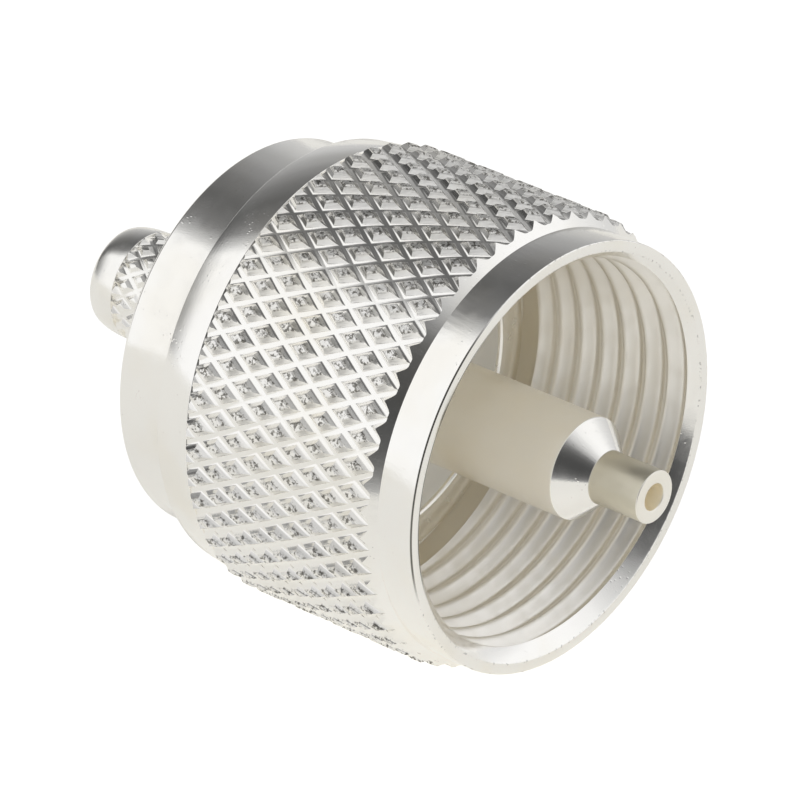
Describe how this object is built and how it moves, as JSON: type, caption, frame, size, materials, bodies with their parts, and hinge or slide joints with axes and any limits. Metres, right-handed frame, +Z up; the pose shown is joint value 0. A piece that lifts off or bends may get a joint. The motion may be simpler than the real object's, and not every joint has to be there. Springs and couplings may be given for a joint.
{
  "type": "uhf coaxial plug",
  "caption": "Coaxial cable plug with a knurled threaded coupling nut, a hollow centre contact in a white insulator, and a knurled crimp neck.",
  "frame": {"origin": "on the axis, in the plane of the body's front ring that the mating socket seats against", "axes": "+X along the axis towards the mating socket, +Z up, with the plug lying level"},
  "size_m": [0.0263, 0.0178, 0.0178],
  "materials": {
    "nut_plating": "silver-plated brass, lightly tarnished and scratched",
    "body_plating": "silver-plated brass, slightly warm tarnish",
    "contact_plating": "silver-plated brass, bright turned",
    "ring_spring": "spring bronze, plain",
    "insulator_white": "white fluoropolymer, waxy"
  },
  "bodies": {
    "body": {"plug_body": "body_plating", "insulator": "insulator_white", "center_contact": "contact_plating", "crimp_neck": "body_plating"},
    "ring": {"retaining_ring": "ring_spring"},
    "nut": {"coupling_nut": "nut_plating"}
  },
  "joints": [
    {"name": "nut_play", "type": "slide", "parent": "body", "child": "ring", "axis": [1, 0, 0], "range_m": [-0.0006, 0]},
    {"name": "nut_spin", "type": "hinge", "parent": "ring", "child": "nut", "pos_m": [0, 0, 0], "axis": [1, 0, 0], "continuous": true}
  ]
}
